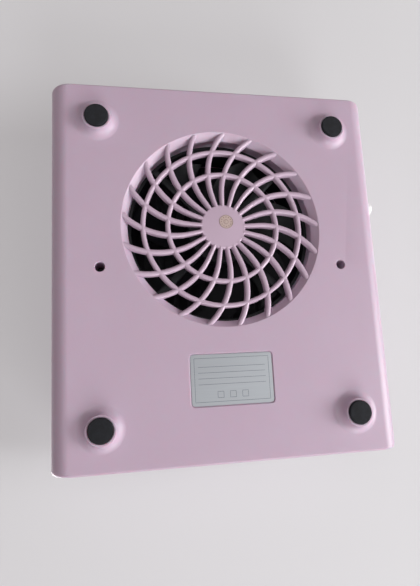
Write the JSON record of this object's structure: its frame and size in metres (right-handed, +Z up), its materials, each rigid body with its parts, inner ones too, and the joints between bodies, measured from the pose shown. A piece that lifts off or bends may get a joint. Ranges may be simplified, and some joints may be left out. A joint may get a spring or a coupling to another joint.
{
  "type": "nail dust collector",
  "caption": "Low table-top nail dust collector: a flat box with a hand rest, a round filter cover on top, a fan inside, a swirl outlet grille below and a push button on one side.",
  "frame": {"origin": "centre of the bounding box's base, on the surface the four rubber pads stand on", "axes": "+Z up, +Y towards the back wall with the power inlet, so the hand rest faces -Y and the power button -X"},
  "size_m": [0.2164, 0.236, 0.0696],
  "materials": {
    "abs_shell": "fine-textured matt lilac pink moulding",
    "rubber": "matt",
    "steel": "plated",
    "label_film": "satin silver grey, bare",
    "black_pbt": "matt black",
    "ferrite": "dull sintered grey",
    "copper_wire": "enamelled wire",
    "circuit_board": "green solder mask",
    "white_button": "smooth",
    "foam": "closed-cell foam",
    "filter_paper": "pleated carbon paper",
    "lead_sheath": "matt sheath"
  },
  "bodies": {
    "housing": {"bottom_shell": "abs_shell", "top_shell": "abs_shell", "foot_pad_front_left": "rubber", "foot_pad_front_right": "rubber", "foot_pad_back_left": "rubber", "foot_pad_back_right": "rubber", "case_screw_left": "steel", "case_screw_right": "steel", "foot_screw_front_left": "steel", "foot_screw_front_right": "steel", "foot_screw_back_left": "steel", "foot_screw_back_right": "steel", "rating_plate": "label_film", "fan_frame": "black_pbt", "fan_screw_front_left": "steel", "fan_screw_front_right": "steel", "fan_screw_back_left": "steel", "fan_screw_back_right": "steel", "lower_bearing": "steel", "upper_bearing": "steel", "stator_core": "steel", "stator_winding_1": "copper_wire", "stator_winding_2": "copper_wire", "stator_winding_3": "copper_wire", "stator_winding_4": "copper_wire", "motor_board": "circuit_board", "switch_bushing": "abs_shell", "switch_nut": "steel", "switch_body": "black_pbt", "button_spring": "steel", "control_board": "circuit_board", "board_screw_left": "steel", "board_screw_right": "steel", "capacitor": "black_pbt", "power_inlet": "black_pbt", "switch_lead": "lead_sheath", "fan_lead": "lead_sheath"},
    "fan": {"fan_rotor": "black_pbt", "rotor_shaft": "steel", "rotor_magnet": "ferrite"},
    "filter_cartridge": {"filter_gasket": "foam", "filter_frame": "black_pbt", "filter_media": "filter_paper", "intake_grille": "abs_shell"},
    "button": {"power_button": "white_button"}
  },
  "joints": [
    {"name": "fan_spin", "type": "hinge", "parent": "housing", "child": "fan", "pos_m": [0.0032, 0.0254, 0.031], "axis": [0, 0, 1], "continuous": true},
    {"name": "filter_lift", "type": "slide", "parent": "housing", "child": "filter_cartridge", "axis": [0, 0, 1], "range_m": [0, 0.04]},
    {"name": "button_press", "type": "slide", "parent": "housing", "child": "button", "axis": [1, 0, 0], "range_m": [0, 0.0016], "stiffness_N_per_m": 400, "deforming": ["button_spring"]}
  ]
}
